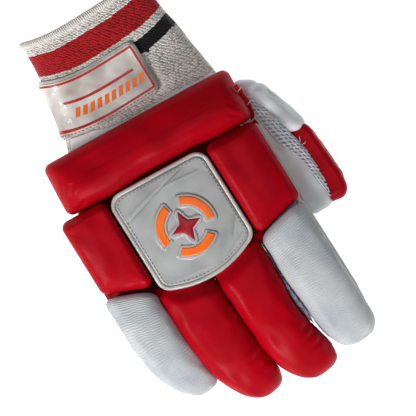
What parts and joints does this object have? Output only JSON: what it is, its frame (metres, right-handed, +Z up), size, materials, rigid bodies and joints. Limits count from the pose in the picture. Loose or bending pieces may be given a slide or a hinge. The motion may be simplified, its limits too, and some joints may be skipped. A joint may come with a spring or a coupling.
{
  "type": "cricket batting glove",
  "caption": "Right-hand cricket batting glove lying palm down: padded leather finger rolls and blocks, silver badge, padded wrist bar, netted thumb and a striped knitted cuff, hollow inside",
  "frame": {"origin": "middle of the glove's footprint, on the surface that it rests on", "axes": "+Z up from the palm to the back of the hand, +Y towards the cuff, fingers towards -Y, +X towards the thumb"},
  "size_m": [0.154, 0.2508, 0.0534],
  "materials": {
    "red_leather": "smooth padded leather with soft creases, satin",
    "white_leather": "soft white leather with fine cross wrinkles, satin",
    "palm_leather": "thin supple palm leather, matt",
    "cotton": "plain woven cotton, matt",
    "knit": "coarse elastic rib knit with a red and a navy stripe, matt",
    "netting": "open airing net, matt",
    "silver_vinyl": "moulded silver vinyl, glossy",
    "clear_vinyl": "clear grey vinyl window, glossy",
    "orange_vinyl": "raised orange vinyl, semi-gloss",
    "red_vinyl": "raised red vinyl, semi-gloss"
  },
  "bodies": {
    "root": {"palm_leather": "palm_leather", "back_leather": "red_leather", "thumb_stall": "white_leather", "cuff": "knit", "wrist_facing": "white_leather", "wrist_strap": "white_leather", "strap_panel": "clear_vinyl", "index_stall": "cotton", "index_roll": "white_leather", "middle_stall": "cotton", "middle_roll": "red_leather", "ring_stall": "cotton", "ring_roll": "red_leather", "little_stall": "cotton", "little_roll": "white_leather", "little_block": "red_leather", "index_block": "red_leather", "wrist_bar": "red_leather", "badge_pad": "red_leather", "badge_sheet": "silver_vinyl", "badge_piping": "silver_vinyl", "emblem_arc_1": "orange_vinyl", "emblem_arc_2": "orange_vinyl", "emblem_arc_3": "orange_vinyl", "emblem_star": "red_vinyl", "thumb_mesh": "netting", "thumb_roll": "red_leather", "thumb_wing": "white_leather"}
  },
  "joints": []
}
